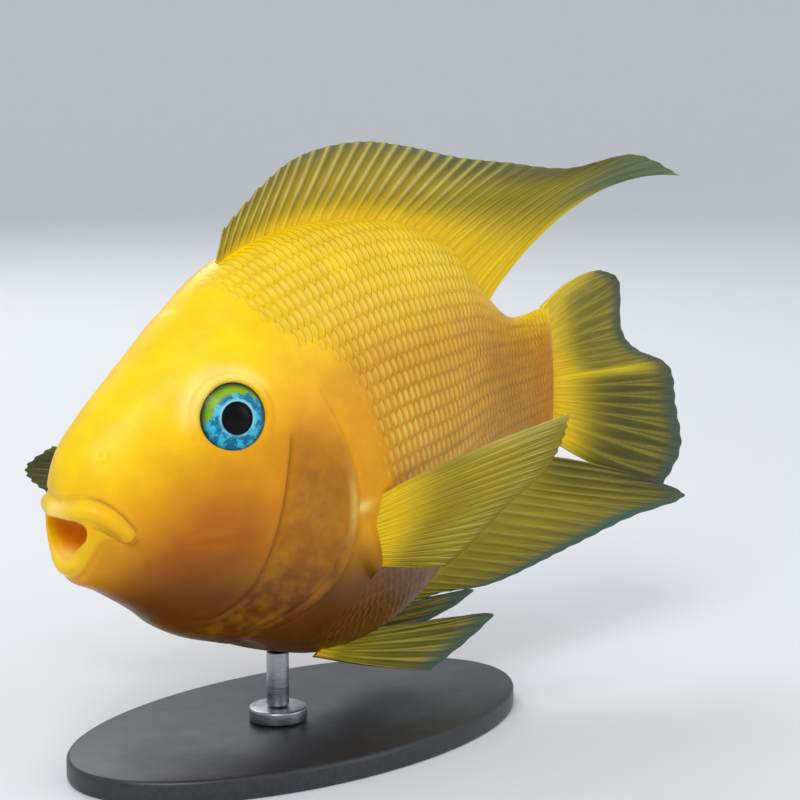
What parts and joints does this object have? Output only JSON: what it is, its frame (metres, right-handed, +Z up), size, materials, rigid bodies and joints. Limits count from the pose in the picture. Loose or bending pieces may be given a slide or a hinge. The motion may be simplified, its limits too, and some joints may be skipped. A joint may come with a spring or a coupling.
{
  "type": "blood parrot cichlid, still life-size model on a stand",
  "caption": "Still life-size yellow blood parrot cichlid, mouth open and fins spread, held by a short rod on an oval base.",
  "frame": {"origin": "centre of the underside of the stand's oval base", "axes": "+Z up, -X the way the animal faces, -Y its left side; its body tips 3 degrees nose down"},
  "size_m": [0.1908, 0.1035, 0.1323],
  "materials": {
    "skin": "wet, glossy yellow fish skin, orange lower down",
    "cheek_skin": "glossy orange-brown skin over the gill covers",
    "eye": "clear, wet eye with a green and blue iris and a black pupil",
    "fin": "thin rayed fin, yellow at the root and grey-blue and clear at the edge",
    "stand_paint": "satin black paint",
    "stand_steel": "brushed steel"
  },
  "bodies": {
    "root": {"head": "skin", "lower_jaw": "skin", "gill_cover_left": "cheek_skin", "gill_cover_right": "cheek_skin", "trunk": "skin", "tail_stem": "skin", "eye_left": "eye", "eye_right": "eye", "dorsal_fin": "fin", "anal_fin": "fin", "caudal_fin": "fin", "pectoral_fin_left": "fin", "pectoral_fin_right": "fin", "pelvic_fin_left": "fin", "pelvic_fin_right": "fin", "stand_base": "stand_paint", "stand_rod": "stand_steel", "stand_foot": "stand_steel"}
  },
  "joints": []
}
